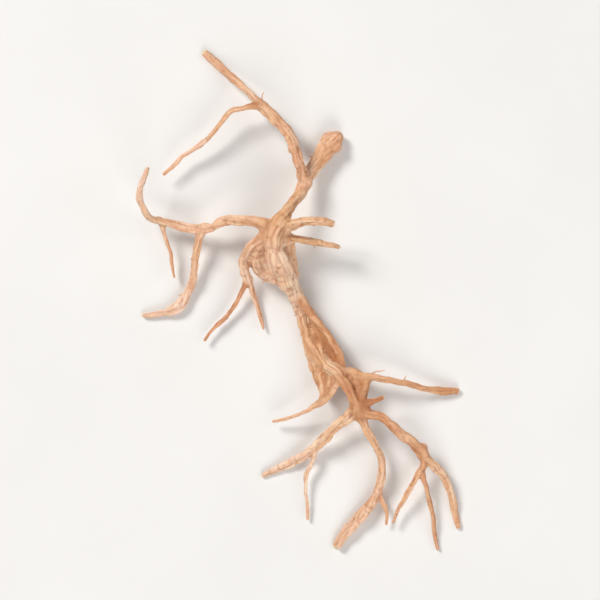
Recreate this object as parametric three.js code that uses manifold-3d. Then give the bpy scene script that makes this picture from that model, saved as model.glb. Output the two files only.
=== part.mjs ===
// A dried ginseng root: one natural body, about 29 x 45 x 5.5 mm, lying on a surface as it was dropped there.
// Two knobbly crowns are joined by a thick, bent root, and thin wrinkled arms, legs and hairs fork from them.
// Every limb is a cylinder bent along a curve through its stations. They are joined into one solid, and what
// rests on the surface is flattened a little, so that the root lies on its own spots.
// Millimetres. +Y runs from the lower legs to the upper arms, +X to the long right arm, +Z up from the surface.
// The origin is the centre of the bounding box's bottom face.
import * as THREE from "three";
import { mergeVertices } from "three/addons/utils/BufferGeometryUtils.js";
import Module from "manifold-3d";

const RING_STEP = 1.0; // distance between two rings of a limb
const MAIN_SIDES = 20; // sides of the thick root's section
const ARM_SIDES = 12; // sides of an arm's or a leg's section
const HAIR_SIDES = 8; // sides of a fine twig's or hair's section
const FURROW_DEPTH = 0.085; // depth of the shrinkage furrows, as a share of the radius
const OVAL = 0.07; // how much flatter than round a section is, as a share of the radius
const KNOT = 0.07; // how much a limb swells and pinches along its length, as a share of the radius
const KNOT_PITCH = 3.3; // length of one swell and pinch
const FURROW_TWIST = 0.11; // radians that the furrows turn a millimetre along a limb
const END_ROUND = 0.75; // length over which a limb's end closes, as a share of its radius
const SURFACE_Z = 0; // height of the surface that the root lies on

// Stations of each limb: [x, y, z, radius], from its root to its tip.
const LIMBS = {
  // the thick root, from its blunt upper end over the upper crown and down to the lower crown
  main: { sides: MAIN_SIDES, furrows: 5, line: [
    [3.33, 14.55, 0.76, 0.7], [2.8, 14.02, 0.78, 0.92], [1.97, 12.87, 1, 0.72], [1.06, 11.48, 1.6, 0.6],
    [0.26, 10.06, 2.4, 0.57], [-0.64, 8.71, 3.2, 0.6], [-1.61, 7.42, 3.9, 0.86], [-2.25, 6.21, 4.15, 1],
    [-2.28, 5.09, 3.95, 0.97], [-1.91, 3.9, 3.45, 1.1], [-1.32, 2.56, 2.7, 1.02], [-0.57, 0.91, 1.8, 0.86],
    [0.19, -0.68, 1.05, 0.76], [0.64, -2.27, 0.6, 0.72], [1.25, -3.94, 0.98, 0.62], [2.23, -5.25, 1.7, 0.58],
    [3.35, -6.14, 2.15, 0.55], [4.14, -7.27, 2.35, 0.51], [4.78, -8.58, 2.45, 0.5], [5.16, -9.79, 2.35, 0.62],
  ] },
  // the second upper arm, which joins the thick root in a Y and comes down to the surface
  upper_fork: { sides: ARM_SIDES, furrows: 4, line: [
    [0.41, 10.63, 2.1, 0.54], [0.04, 12.26, 2.7, 0.49], [-0.41, 13.75, 3.1, 0.52], [-1.05, 15.02, 3.2, 0.58],
    [-1.99, 16.16, 3, 0.55], [-3.35, 17.44, 2.35, 0.43], [-4.72, 18.82, 1.55, 0.35], [-6.1, 20.07, 0.9, 0.38],
    [-7.28, 21.17, 0.42, 0.43], [-8.46, 22.24, 0.32, 0.34],
  ] },
  // the long arm to the left, whose end turns up
  west_arm: { sides: ARM_SIDES, furrows: 3, line: [
    [-2.32, 6.44, 4.05, 0.66], [-3.7, 7.03, 4.2, 0.52], [-5.36, 7.2, 3.7, 0.48], [-6.8, 7.07, 2.9, 0.46],
    [-8.03, 6.63, 2.2, 0.48], [-9.4, 6.53, 1.8, 0.46], [-10.84, 6.84, 1.7, 0.42], [-12.18, 7.21, 2, 0.38],
    [-13.28, 7.53, 2.6, 0.37], [-13.85, 8.41, 3.3, 0.36], [-14.04, 9.59, 3.9, 0.33], [-13.77, 10.78, 4.2, 0.29],
    [-13.36, 11.9, 4.1, 0.21],
  ] },
  // its branch, which comes down and swells where it lies on the surface
  west_drop: { sides: ARM_SIDES, furrows: 3, line: [
    [-8.48, 6.56, 2.15, 0.44], [-8.94, 5.43, 1.9, 0.37], [-9.33, 4.01, 1.5, 0.34], [-9.46, 2.42, 1, 0.36],
    [-9.82, 1.06, 0.62, 0.44], [-10.51, -0.11, 0.48, 0.62], [-11.5, -0.8, 0.42, 0.5], [-12.71, -1.1, 0.32, 0.34],
    [-13.93, -1.25, 0.26, 0.22],
  ] },
  // a fine twig near its end
  west_twig: { sides: HAIR_SIDES, furrows: 0, line: [
    [-12.41, 7.32, 2.05, 0.28], [-12.04, 6.19, 1.85, 0.23], [-11.67, 5.06, 1.55, 0.22], [-11.46, 3.78, 1.2, 0.2],
    [-11.09, 2.27, 0.95, 0.17],
  ] },
  // the thin arm that hangs down to the left of the upper crown
  down_arm: { sides: ARM_SIDES, furrows: 3, line: [
    [-2.43, 5.77, 3.95, 0.56], [-3.56, 5.4, 3.7, 0.42], [-4.47, 4.66, 3.2, 0.37], [-5.01, 3.62, 2.5, 0.36],
    [-4.79, 2.42, 1.8, 0.35], [-4.31, 1.29, 1.2, 0.33], [-3.86, 0.08, 0.8, 0.29], [-3.53, -1.21, 0.6, 0.24],
    [-3.22, -2.35, 0.58, 0.18],
  ] },
  // the twig that it splits into
  down_twig: { sides: HAIR_SIDES, furrows: 0, line: [
    [-4.65, 2.04, 1.6, 0.32], [-5.18, 0.68, 1.2, 0.26], [-5.87, -0.45, 0.95, 0.25], [-6.71, -1.48, 0.8, 0.24],
    [-7.69, -2.42, 0.8, 0.2], [-8.37, -3.41, 0.9, 0.16],
  ] },
  // upper of the two short blunt arms to the right of the upper crown
  east_upper: { sides: ARM_SIDES, furrows: 3, line: [
    [-1.83, 5.91, 4.2, 0.6], [-1.08, 6.58, 4.45, 0.48], [-0.04, 6.95, 4.75, 0.42], [1.38, 7.05, 4.95, 0.42],
    [2.27, 6.98, 4.95, 0.41], [2.98, 6.83, 4.85, 0.34],
  ] },
  // lower of the two
  east_lower: { sides: ARM_SIDES, furrows: 3, line: [
    [-1.54, 5.32, 3.8, 0.5], [-0.34, 5.55, 3.55, 0.36], [0.94, 5.45, 3.25, 0.36], [2.29, 5.22, 3, 0.37],
    [3.53, 4.93, 2.9, 0.31],
  ] },
  // the strand that leaves the thick root's right side and runs beside it
  limb_strand: { sides: ARM_SIDES, furrows: 3, line: [
    [-0.26, 0.83, 1.85, 0.56], [0.79, -0.72, 2, 0.5], [1.77, -2.11, 2.2, 0.47], [2.68, -3.24, 2.15, 0.42],
    [3.28, -4.22, 2, 0.36], [3.66, -5.21, 1.9, 0.34], [3.81, -6.04, 1.9, 0.34],
  ] },
  // the short fine strand off its left side
  side_strand: { sides: HAIR_SIDES, furrows: 0, line: [
    [-0.34, 0.61, 1.85, 0.52], [-1.17, 1.32, 2.1, 0.45], [-2.07, 1.89, 2, 0.4], [-2.98, 2.34, 1.8, 0.34],
    [-3.85, 2.76, 1.6, 0.24],
  ] },
  // the long thin arm to the right, whose tip comes down to the surface
  right_arm: { sides: ARM_SIDES, furrows: 3, line: [
    [3.13, -5.93, 1.65, 0.5], [4.49, -6.15, 1.98, 0.42], [5.99, -6.52, 2.15, 0.39], [7.57, -6.86, 2.2, 0.36],
    [9.32, -7.21, 1.9, 0.34], [11.08, -7.6, 1.25, 0.34], [12.7, -7.92, 0.62, 0.35], [14.16, -7.97, 0.26, 0.31],
  ] },
  // the finest arm, to the lower left
  hair: { sides: HAIR_SIDES, furrows: 0, line: [
    [3.43, -6.49, 1.95, 0.42], [3.05, -7.69, 2.25, 0.34], [2.3, -8.74, 2.4, 0.33], [1.17, -9.45, 2.3, 0.3],
    [0.04, -9.96, 1.9, 0.27], [-1.17, -10.36, 1.4, 0.22], [-2.31, -10.6, 1.05, 0.17],
  ] },
  // left leg of the lower crown
  leg_left: { sides: ARM_SIDES, furrows: 3, line: [
    [5.16, -9.56, 2.4, 0.6], [3.73, -10.55, 2.2, 0.5], [2.45, -11.78, 1.7, 0.46], [1.48, -12.78, 1.22, 0.43],
    [0.34, -13.72, 0.76, 0.4], [-0.95, -14.42, 0.44, 0.37], [-2.09, -14.96, 0.3, 0.34], [-3.3, -15.49, 0.26, 0.26],
  ] },
  // the straight hair that hangs from it
  leg_left_twig: { sides: HAIR_SIDES, furrows: 0, line: [
    [1.44, -12.79, 1.2, 0.34], [1.21, -14.11, 1.15, 0.27], [0.61, -15.33, 1, 0.26], [0.57, -16.59, 0.84, 0.21],
    [0.72, -17.97, 0.6, 0.19], [0.72, -19.35, 0.42, 0.16],
  ] },
  // middle leg, swollen just before its tip
  leg_mid: { sides: ARM_SIDES, furrows: 4, line: [
    [5.31, -9.72, 2.35, 0.56], [5.84, -11, 2.3, 0.41], [6.45, -12.14, 2.05, 0.38], [7.1, -13.45, 1.62, 0.39],
    [7.34, -14.98, 1.2, 0.41], [7.08, -16.51, 0.86, 0.47], [6.48, -17.82, 0.6, 0.55], [5.5, -19.04, 0.5, 0.6],
    [4.59, -20.07, 0.46, 0.56], [3.91, -20.94, 0.42, 0.49], [3.38, -21.78, 0.36, 0.4],
  ] },
  // a fine twig off the middle leg
  leg_mid_twig: { sides: HAIR_SIDES, furrows: 0, line: [
    [6.93, -16.74, 0.9, 0.34], [7.46, -17.88, 0.9, 0.23], [7.77, -18.79, 0.8, 0.2], [7.7, -19.79, 0.65, 0.16],
  ] },
  // right leg, which forks twice
  leg_right: { sides: ARM_SIDES, furrows: 4, line: [
    [5.38, -9.64, 2.4, 0.56], [6.28, -9.93, 2.75, 0.46], [7.18, -10.15, 2.95, 0.44], [8, -10.7, 3.1, 0.42],
    [8.83, -11.46, 3, 0.42], [9.74, -12.18, 2.75, 0.44], [10.58, -12.96, 2.35, 0.45], [11.36, -13.96, 1.9, 0.44],
    [12.28, -14.89, 1.5, 0.38], [13.06, -16.12, 1.05, 0.36], [13.61, -17.52, 0.58, 0.35], [13.89, -18.83, 0.3, 0.34],
    [14.16, -20.05, 0.24, 0.25],
  ] },
  // the second tine of its fork
  leg_right_fork: { sides: HAIR_SIDES, furrows: 0, line: [
    [11.01, -13.57, 2.05, 0.42], [10.99, -15.06, 1.75, 0.33], [11.26, -16.48, 1.4, 0.3], [11.66, -18.02, 1, 0.28],
    [11.94, -19.48, 0.64, 0.25], [12.07, -20.83, 0.36, 0.23], [12.34, -22.02, 0.2, 0.2],
  ] },
  // the fine third tine, to the left
  leg_right_twig: { sides: HAIR_SIDES, furrows: 0, line: [
    [10.98, -14.49, 1.85, 0.33], [10.16, -15.78, 1.7, 0.26], [9.49, -17.16, 1.4, 0.23], [8.86, -18.47, 1.1, 0.21],
    [8.37, -19.61, 0.95, 0.16],
  ] },
  // a short broken rootlet on the lower crown
  stub: { sides: HAIR_SIDES, furrows: 0, line: [
    [5.35, -9.26, 2.5, 0.46], [6.5, -8.79, 2.9, 0.28], [7.47, -8.33, 3.15, 0.2],
  ] },
  // a short strand beside the thick root, from the long right arm down to the lower crown
  trunk_strand: { sides: HAIR_SIDES, furrows: 0, line: [
    [5.99, -6.56, 2.15, 0.34], [5.95, -7.46, 2.2, 0.32], [5.65, -8.36, 2.35, 0.34], [5.31, -9.26, 2.4, 0.42],
  ] },
  // the thick root's swollen left side above the lower crown, which narrows into the finest arm
  hip: { sides: ARM_SIDES, furrows: 3, line: [
    [0.87, -3.64, 0.58, 0.66], [1.4, -5.15, 0.66, 0.7], [1.86, -6.59, 0.98, 0.66], [2.15, -7.86, 1.6, 0.47],
    [1.77, -9.04, 2.25, 0.3],
  ] },
  // the upper crown's left side, between it and the thin arm that hangs down
  flank: { sides: ARM_SIDES, furrows: 3, line: [
    [-3.04, 5.63, 3.5, 0.66], [-3.69, 4.55, 2.8, 0.7], [-3.84, 3.54, 2.2, 0.7], [-3.44, 2.68, 1.6, 0.55],
    [-2.61, 2.04, 1.3, 0.42],
  ] },
  // a long hair off the second upper arm
  fork_hair: { sides: HAIR_SIDES, furrows: 0, line: [
    [-3.28, 17.32, 2.4, 0.44], [-4.78, 17.24, 2.55, 0.31], [-5.99, 17.02, 2.5, 0.3], [-6.82, 16.13, 2.3, 0.29],
    [-7.65, 14.93, 2.1, 0.28], [-8.79, 13.92, 1.9, 0.3], [-9.93, 13.07, 1.7, 0.28], [-11.07, 12.17, 1.5, 0.24],
    [-12.06, 11.34, 1.4, 0.18],
  ] },
  // sunken flesh between the thick root and the strand on its right side
  inner_upper: { sides: HAIR_SIDES, furrows: 0, line: [
    [1.63, -2.5, 0.7, 0.42], [2.27, -3.64, 0.72, 0.48], [2.91, -4.62, 1, 0.48], [3.36, -5.59, 1.36, 0.46],
  ] },
  // sunken flesh between the swollen left side and the thick root's lower end
  inner_lower: { sides: HAIR_SIDES, furrows: 0, line: [
    [2.54, -5.9, 1.1, 0.48], [2.76, -6.88, 1.28, 0.48], [2.72, -7.78, 1.55, 0.38], [2.41, -8.53, 1.9, 0.32],
  ] },
  // sunken flesh between the thick root's lower end and the short strand beside it
  inner_right: { sides: HAIR_SIDES, furrows: 0, line: [
    [4.87, -6.42, 1.6, 0.5], [5.29, -7.33, 1.62, 0.54], [5.28, -8.45, 1.85, 0.5], [5.24, -9.5, 2.15, 0.46],
  ] },
  // sunken flesh between the upper crown and its left side
  inner_flank: { sides: HAIR_SIDES, furrows: 0, line: [
    [-2.97, 5.04, 2.7, 0.46], [-2.91, 4, 1.95, 0.5], [-2.72, 2.95, 1.45, 0.48], [-2.23, 2.12, 1.3, 0.42],
  ] },
  // sunken flesh down the upper crown's right side, below the two short arms
  inner_east: { sides: HAIR_SIDES, furrows: 0, line: [
    [-1.39, 6.15, 3.5, 0.5], [-0.98, 5.34, 2.95, 0.52], [-0.79, 4.44, 2.45, 0.5], [-0.68, 3.47, 2.1, 0.52],
    [-0.42, 2.42, 1.95, 0.5],
  ] },
};

const wasm = await Module();
wasm.setup();

// A closed surface, with its shared corners merged, as a solid that can be joined and cut.
function solidOf(geometry) {
  const bare = geometry.index ? geometry.toNonIndexed() : geometry.clone();
  bare.deleteAttribute("normal");
  bare.deleteAttribute("uv");
  const merged = mergeVertices(bare, 1e-5);
  return new wasm.Manifold(
    new wasm.Mesh({
      numProp: 3,
      vertProperties: new Float32Array(merged.attributes.position.array),
      triVerts: new Uint32Array(merged.index.array),
    }),
  );
}

// A limb: a cylinder whose rings are carried along the curve through the stations without twisting.
function limb({ sides, furrows, line }, index) {
  const last = line.length - 1;
  const curve = new THREE.CatmullRomCurve3(
    line.map(([x, y, z]) => new THREE.Vector3(x, y, z)),
    false,
    "centripetal",
  );
  // arc length at many parameters, so that rings can be set by distance
  const fine = 24 * last;
  const run = [0];
  let before = curve.getPoint(0);
  for (let i = 1; i <= fine; i++) {
    const here = curve.getPoint(i / fine);
    run.push(run[i - 1] + here.distanceTo(before));
    before = here;
  }
  const length = run[fine];
  const parameterAt = (s) => {
    let i = 1;
    while (i < fine && run[i] < s) i++;
    const share = (s - run[i - 1]) / Math.max(run[i] - run[i - 1], 1e-9);
    return THREE.MathUtils.clamp((i - 1 + share) / fine, 0, 1);
  };
  const radiusAt = (t) => {
    const i = Math.min(Math.floor(t * last), last - 1);
    return THREE.MathUtils.lerp(line[i][3], line[i + 1][3], t * last - i);
  };

  // ring positions: close together at both rounded ends, evenly spread between them
  const startRound = END_ROUND * line[0][3];
  const endRound = END_ROUND * line[last][3];
  const middle = Math.max(2, Math.round((length - startRound - endRound) / RING_STEP));
  const rings = [
    { s: 0, k: 0.5 },
    { s: startRound * 0.35, k: 0.84 },
  ];
  for (let i = 0; i <= middle; i++) {
    rings.push({ s: startRound + ((length - startRound - endRound) * i) / middle, k: 1 });
  }
  rings.push({ s: length - endRound * 0.35, k: 0.84 }, { s: length, k: 0.5 });

  // frames carried along the curve
  const phase = index * 1.7;
  let normal = new THREE.Vector3(0, 0, 1);
  const frames = rings.map(({ s, k }) => {
    const t = parameterAt(s);
    const tangent = curve.getTangent(t).normalize();
    normal.addScaledVector(tangent, -normal.dot(tangent)).normalize();
    const swell = 1 + KNOT * Math.sin((2 * Math.PI * s) / KNOT_PITCH + phase) * Math.min(1, s / 2);
    return {
      centre: curve.getPoint(t),
      normal: normal.clone(),
      side: new THREE.Vector3().crossVectors(normal, tangent),
      radius: radiusAt(t) * k * swell,
      s,
    };
  });

  const n = rings.length - 1;
  const geometry = new THREE.CylinderGeometry(1, 1, 1, sides, n, false);
  const position = geometry.attributes.position;
  const at = new THREE.Vector3();
  for (let i = 0; i < position.count; i++) {
    const x = position.getX(i);
    const z = position.getZ(i);
    const frame = frames[Math.round((position.getY(i) + 0.5) * n)];
    const angle = Math.atan2(x, z);
    const furrow = furrows ? -FURROW_DEPTH * Math.cos(furrows * (angle + FURROW_TWIST * frame.s) + phase) : 0;
    const reach = frame.radius * (1 + furrow + OVAL * Math.cos(2 * (angle + 0.06 * frame.s) + phase));
    at.copy(frame.centre).addScaledVector(frame.normal, x * reach).addScaledVector(frame.side, z * reach);
    position.setXYZ(i, at.x, at.y, at.z);
  }
  return solidOf(geometry);
}

let root = null;
Object.values(LIMBS).forEach((shape, index) => {
  const solid = limb(shape, index);
  root = root ? root.add(solid) : solid;
});

// what dips below the surface is taken off, which leaves the flat resting spots
const under = new THREE.BoxGeometry(120, 120, 20).translate(0, 0, SURFACE_Z - 10);
root = root.subtract(solidOf(under));

const mesh = root.getMesh();
const positions = new Float32Array((mesh.vertProperties.length / mesh.numProp) * 3);
for (let i = 0; i < positions.length / 3; i++) {
  positions.set(mesh.vertProperties.subarray(i * mesh.numProp, i * mesh.numProp + 3), i * 3);
}
const geometry = new THREE.BufferGeometry();
geometry.setAttribute("position", new THREE.BufferAttribute(positions, 3));
geometry.setIndex(new THREE.BufferAttribute(new Uint32Array(mesh.triVerts), 1));
geometry.computeBoundingBox();
const box = geometry.boundingBox;
geometry.translate(-(box.min.x + box.max.x) / 2, -(box.min.y + box.max.y) / 2, -box.min.z);
geometry.computeVertexNormals();

const ginsengRoot = new THREE.Mesh(
  geometry,
  new THREE.MeshStandardMaterial({ name: "root_skin", color: 0xd7a582, roughness: 0.85, metalness: 0 }),
);
ginsengRoot.name = "ginseng_root";

const part = new THREE.Group();
part.name = "ginseng_root_part";
part.add(ginsengRoot);

export default part;
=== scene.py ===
"""A dried ginseng root, lying on a pale floor and seen from straight above.

The root's skin is one mesh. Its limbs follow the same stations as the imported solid. A smooth field round them is
turned into a surface, so that forks flow into each other, and the surface is then wrinkled along each limb.
Work is in millimetres and goes into Blender in metres.
"""

import math

import bpy
import numpy as np
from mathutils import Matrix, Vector


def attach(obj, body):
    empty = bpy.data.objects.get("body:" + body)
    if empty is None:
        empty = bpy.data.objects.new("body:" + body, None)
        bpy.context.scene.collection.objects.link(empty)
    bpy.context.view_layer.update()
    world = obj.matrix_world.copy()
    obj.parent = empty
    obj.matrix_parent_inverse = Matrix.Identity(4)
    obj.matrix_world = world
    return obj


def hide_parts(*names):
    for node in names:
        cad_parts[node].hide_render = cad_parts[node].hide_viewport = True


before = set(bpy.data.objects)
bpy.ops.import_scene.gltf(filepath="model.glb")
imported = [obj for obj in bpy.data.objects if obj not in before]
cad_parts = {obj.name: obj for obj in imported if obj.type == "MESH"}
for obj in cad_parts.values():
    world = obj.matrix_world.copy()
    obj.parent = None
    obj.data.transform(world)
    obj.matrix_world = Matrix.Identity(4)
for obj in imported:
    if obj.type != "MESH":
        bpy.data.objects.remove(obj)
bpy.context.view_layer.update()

MM = 0.001
VOXEL = 0.0945  # mm, spacing of the skin's points
SEED = 7

# Stations of each limb in mm: (x, y, z, radius), from its root to its tip.
LIMBS = {
    "main": [
        (3.33, 14.55, 0.76, 0.7), (2.8, 14.02, 0.78, 0.92), (1.97, 12.87, 1, 0.72), (1.06, 11.48, 1.6, 0.6),
        (0.26, 10.06, 2.4, 0.57), (-0.64, 8.71, 3.2, 0.6), (-1.61, 7.42, 3.9, 0.86), (-2.25, 6.21, 4.15, 1),
        (-2.28, 5.09, 3.95, 0.97), (-1.91, 3.9, 3.45, 1.1), (-1.32, 2.56, 2.7, 1.02), (-0.57, 0.91, 1.8, 0.86),
        (0.19, -0.68, 1.05, 0.76), (0.64, -2.27, 0.6, 0.72), (1.25, -3.94, 0.98, 0.62), (2.23, -5.25, 1.7, 0.58),
        (3.35, -6.14, 2.15, 0.55), (4.14, -7.27, 2.35, 0.51), (4.78, -8.58, 2.45, 0.5), (5.16, -9.79, 2.35, 0.62),
    ],
    "upper_fork": [
        (0.41, 10.63, 2.1, 0.54), (0.04, 12.26, 2.7, 0.49), (-0.41, 13.75, 3.1, 0.52), (-1.05, 15.02, 3.2, 0.58),
        (-1.99, 16.16, 3, 0.55), (-3.35, 17.44, 2.35, 0.43), (-4.72, 18.82, 1.55, 0.35), (-6.1, 20.07, 0.9, 0.38),
        (-7.28, 21.17, 0.42, 0.43), (-8.46, 22.24, 0.32, 0.34),
    ],
    "west_arm": [
        (-2.32, 6.44, 4.05, 0.66), (-3.7, 7.03, 4.2, 0.52), (-5.36, 7.2, 3.7, 0.48), (-6.8, 7.07, 2.9, 0.46),
        (-8.03, 6.63, 2.2, 0.48), (-9.4, 6.53, 1.8, 0.46), (-10.84, 6.84, 1.7, 0.42), (-12.18, 7.21, 2, 0.38),
        (-13.28, 7.53, 2.6, 0.37), (-13.85, 8.41, 3.3, 0.36), (-14.04, 9.59, 3.9, 0.33), (-13.77, 10.78, 4.2, 0.29),
        (-13.36, 11.9, 4.1, 0.21),
    ],
    "west_drop": [
        (-8.48, 6.56, 2.15, 0.44), (-8.94, 5.43, 1.9, 0.37), (-9.33, 4.01, 1.5, 0.34), (-9.46, 2.42, 1, 0.36),
        (-9.82, 1.06, 0.62, 0.44), (-10.51, -0.11, 0.48, 0.62), (-11.5, -0.8, 0.42, 0.5), (-12.71, -1.1, 0.32, 0.34),
        (-13.93, -1.25, 0.26, 0.22),
    ],
    "west_twig": [
        (-12.41, 7.32, 2.05, 0.28), (-12.04, 6.19, 1.85, 0.23), (-11.67, 5.06, 1.55, 0.22), (-11.46, 3.78, 1.2, 0.2),
        (-11.09, 2.27, 0.95, 0.17),
    ],
    "down_arm": [
        (-2.43, 5.77, 3.95, 0.56), (-3.56, 5.4, 3.7, 0.42), (-4.47, 4.66, 3.2, 0.37), (-5.01, 3.62, 2.5, 0.36),
        (-4.79, 2.42, 1.8, 0.35), (-4.31, 1.29, 1.2, 0.33), (-3.86, 0.08, 0.8, 0.29), (-3.53, -1.21, 0.6, 0.24),
        (-3.22, -2.35, 0.58, 0.18),
    ],
    "down_twig": [
        (-4.65, 2.04, 1.6, 0.32), (-5.18, 0.68, 1.2, 0.26), (-5.87, -0.45, 0.95, 0.25), (-6.71, -1.48, 0.8, 0.24),
        (-7.69, -2.42, 0.8, 0.2), (-8.37, -3.41, 0.9, 0.16),
    ],
    "east_upper": [
        (-1.83, 5.91, 4.2, 0.6), (-1.08, 6.58, 4.45, 0.48), (-0.04, 6.95, 4.75, 0.42), (1.38, 7.05, 4.95, 0.42),
        (2.27, 6.98, 4.95, 0.41), (2.98, 6.83, 4.85, 0.34),
    ],
    "east_lower": [
        (-1.54, 5.32, 3.8, 0.5), (-0.34, 5.55, 3.55, 0.36), (0.94, 5.45, 3.25, 0.36), (2.29, 5.22, 3, 0.37),
        (3.53, 4.93, 2.9, 0.31),
    ],
    "limb_strand": [
        (-0.26, 0.83, 1.85, 0.56), (0.79, -0.72, 2, 0.5), (1.77, -2.11, 2.2, 0.47), (2.68, -3.24, 2.15, 0.42),
        (3.28, -4.22, 2, 0.36), (3.66, -5.21, 1.9, 0.34), (3.81, -6.04, 1.9, 0.34),
    ],
    "side_strand": [
        (-0.34, 0.61, 1.85, 0.52), (-1.17, 1.32, 2.1, 0.45), (-2.07, 1.89, 2, 0.4), (-2.98, 2.34, 1.8, 0.34),
        (-3.85, 2.76, 1.6, 0.24),
    ],
    "right_arm": [
        (3.13, -5.93, 1.65, 0.5), (4.49, -6.15, 1.98, 0.42), (5.99, -6.52, 2.15, 0.39), (7.57, -6.86, 2.2, 0.36),
        (9.32, -7.21, 1.9, 0.34), (11.08, -7.6, 1.25, 0.34), (12.7, -7.92, 0.62, 0.35), (14.16, -7.97, 0.26, 0.31),
    ],
    "hair": [
        (3.43, -6.49, 1.95, 0.42), (3.05, -7.69, 2.25, 0.34), (2.3, -8.74, 2.4, 0.33), (1.17, -9.45, 2.3, 0.3),
        (0.04, -9.96, 1.9, 0.27), (-1.17, -10.36, 1.4, 0.22), (-2.31, -10.6, 1.05, 0.17),
    ],
    "leg_left": [
        (5.16, -9.56, 2.4, 0.6), (3.73, -10.55, 2.2, 0.5), (2.45, -11.78, 1.7, 0.46), (1.48, -12.78, 1.22, 0.43),
        (0.34, -13.72, 0.76, 0.4), (-0.95, -14.42, 0.44, 0.37), (-2.09, -14.96, 0.3, 0.34), (-3.3, -15.49, 0.26, 0.26),
    ],
    "leg_left_twig": [
        (1.44, -12.79, 1.2, 0.34), (1.21, -14.11, 1.15, 0.27), (0.61, -15.33, 1, 0.26), (0.57, -16.59, 0.84, 0.21),
        (0.72, -17.97, 0.6, 0.19), (0.72, -19.35, 0.42, 0.16),
    ],
    "leg_mid": [
        (5.31, -9.72, 2.35, 0.56), (5.84, -11, 2.3, 0.41), (6.45, -12.14, 2.05, 0.38), (7.1, -13.45, 1.62, 0.39),
        (7.34, -14.98, 1.2, 0.41), (7.08, -16.51, 0.86, 0.47), (6.48, -17.82, 0.6, 0.55), (5.5, -19.04, 0.5, 0.6),
        (4.59, -20.07, 0.46, 0.56), (3.91, -20.94, 0.42, 0.49), (3.38, -21.78, 0.36, 0.4),
    ],
    "leg_mid_twig": [
        (6.93, -16.74, 0.9, 0.34), (7.46, -17.88, 0.9, 0.23), (7.77, -18.79, 0.8, 0.2), (7.7, -19.79, 0.65, 0.16),
    ],
    "leg_right": [
        (5.38, -9.64, 2.4, 0.56), (6.28, -9.93, 2.75, 0.46), (7.18, -10.15, 2.95, 0.44), (8, -10.7, 3.1, 0.42),
        (8.83, -11.46, 3, 0.42), (9.74, -12.18, 2.75, 0.44), (10.58, -12.96, 2.35, 0.45), (11.36, -13.96, 1.9, 0.44),
        (12.28, -14.89, 1.5, 0.38), (13.06, -16.12, 1.05, 0.36), (13.61, -17.52, 0.58, 0.35), (13.89, -18.83, 0.3, 0.34),
        (14.16, -20.05, 0.24, 0.25),
    ],
    "leg_right_fork": [
        (11.01, -13.57, 2.05, 0.42), (10.99, -15.06, 1.75, 0.33), (11.26, -16.48, 1.4, 0.3), (11.66, -18.02, 1, 0.28),
        (11.94, -19.48, 0.64, 0.25), (12.07, -20.83, 0.36, 0.23), (12.34, -22.02, 0.2, 0.2),
    ],
    "leg_right_twig": [
        (10.98, -14.49, 1.85, 0.33), (10.16, -15.78, 1.7, 0.26), (9.49, -17.16, 1.4, 0.23), (8.86, -18.47, 1.1, 0.21),
        (8.37, -19.61, 0.95, 0.16),
    ],
    "stub": [
        (5.35, -9.26, 2.5, 0.46), (6.5, -8.79, 2.9, 0.28), (7.47, -8.33, 3.15, 0.2),
    ],
    "trunk_strand": [
        (5.99, -6.56, 2.15, 0.34), (5.95, -7.46, 2.2, 0.32), (5.65, -8.36, 2.35, 0.34), (5.31, -9.26, 2.4, 0.42),
    ],
    "hip": [
        (0.87, -3.64, 0.58, 0.66), (1.4, -5.15, 0.66, 0.7), (1.86, -6.59, 0.98, 0.66), (2.15, -7.86, 1.6, 0.47),
        (1.77, -9.04, 2.25, 0.3),
    ],
    "flank": [
        (-3.04, 5.63, 3.5, 0.66), (-3.69, 4.55, 2.8, 0.7), (-3.84, 3.54, 2.2, 0.7), (-3.44, 2.68, 1.6, 0.55),
        (-2.61, 2.04, 1.3, 0.42),
    ],
    "fork_hair": [
        (-3.28, 17.32, 2.4, 0.44), (-4.78, 17.24, 2.55, 0.31), (-5.99, 17.02, 2.5, 0.3), (-6.82, 16.13, 2.3, 0.29),
        (-7.65, 14.93, 2.1, 0.28), (-8.79, 13.92, 1.9, 0.3), (-9.93, 13.07, 1.7, 0.28), (-11.07, 12.17, 1.5, 0.24),
        (-12.06, 11.34, 1.4, 0.18),
    ],
    "inner_upper": [
        (1.63, -2.5, 0.7, 0.42), (2.27, -3.64, 0.72, 0.48), (2.91, -4.62, 1, 0.48), (3.36, -5.59, 1.36, 0.46),
    ],
    "inner_lower": [
        (2.54, -5.9, 1.1, 0.48), (2.76, -6.88, 1.28, 0.48), (2.72, -7.78, 1.55, 0.38), (2.41, -8.53, 1.9, 0.32),
    ],
    "inner_right": [
        (4.87, -6.42, 1.6, 0.5), (5.29, -7.33, 1.62, 0.54), (5.28, -8.45, 1.85, 0.5), (5.24, -9.5, 2.15, 0.46),
    ],
    "inner_flank": [
        (-2.97, 5.04, 2.7, 0.46), (-2.91, 4, 1.95, 0.5), (-2.72, 2.95, 1.45, 0.48), (-2.23, 2.12, 1.3, 0.42),
    ],
    "inner_east": [
        (-1.39, 6.15, 3.5, 0.5), (-0.98, 5.34, 2.95, 0.52), (-0.79, 4.44, 2.45, 0.5), (-0.68, 3.47, 2.1, 0.52),
        (-0.42, 2.42, 1.95, 0.5),
    ],
}
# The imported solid's box was centred on its origin, by this much.
CENTRING = np.array([0.0502, 0.1735, 0.0])

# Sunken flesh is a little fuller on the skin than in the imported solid: how far it is raised and swollen, in mm.
FULLER = {
    "inner_flank": (0.50, 0.06),
    "inner_east": (0.25, 0.04),
    "inner_upper": (0.22, 0.04),
    "inner_lower": (0.15, 0.03),
    "inner_right": (0.24, 0.03),
}

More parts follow.
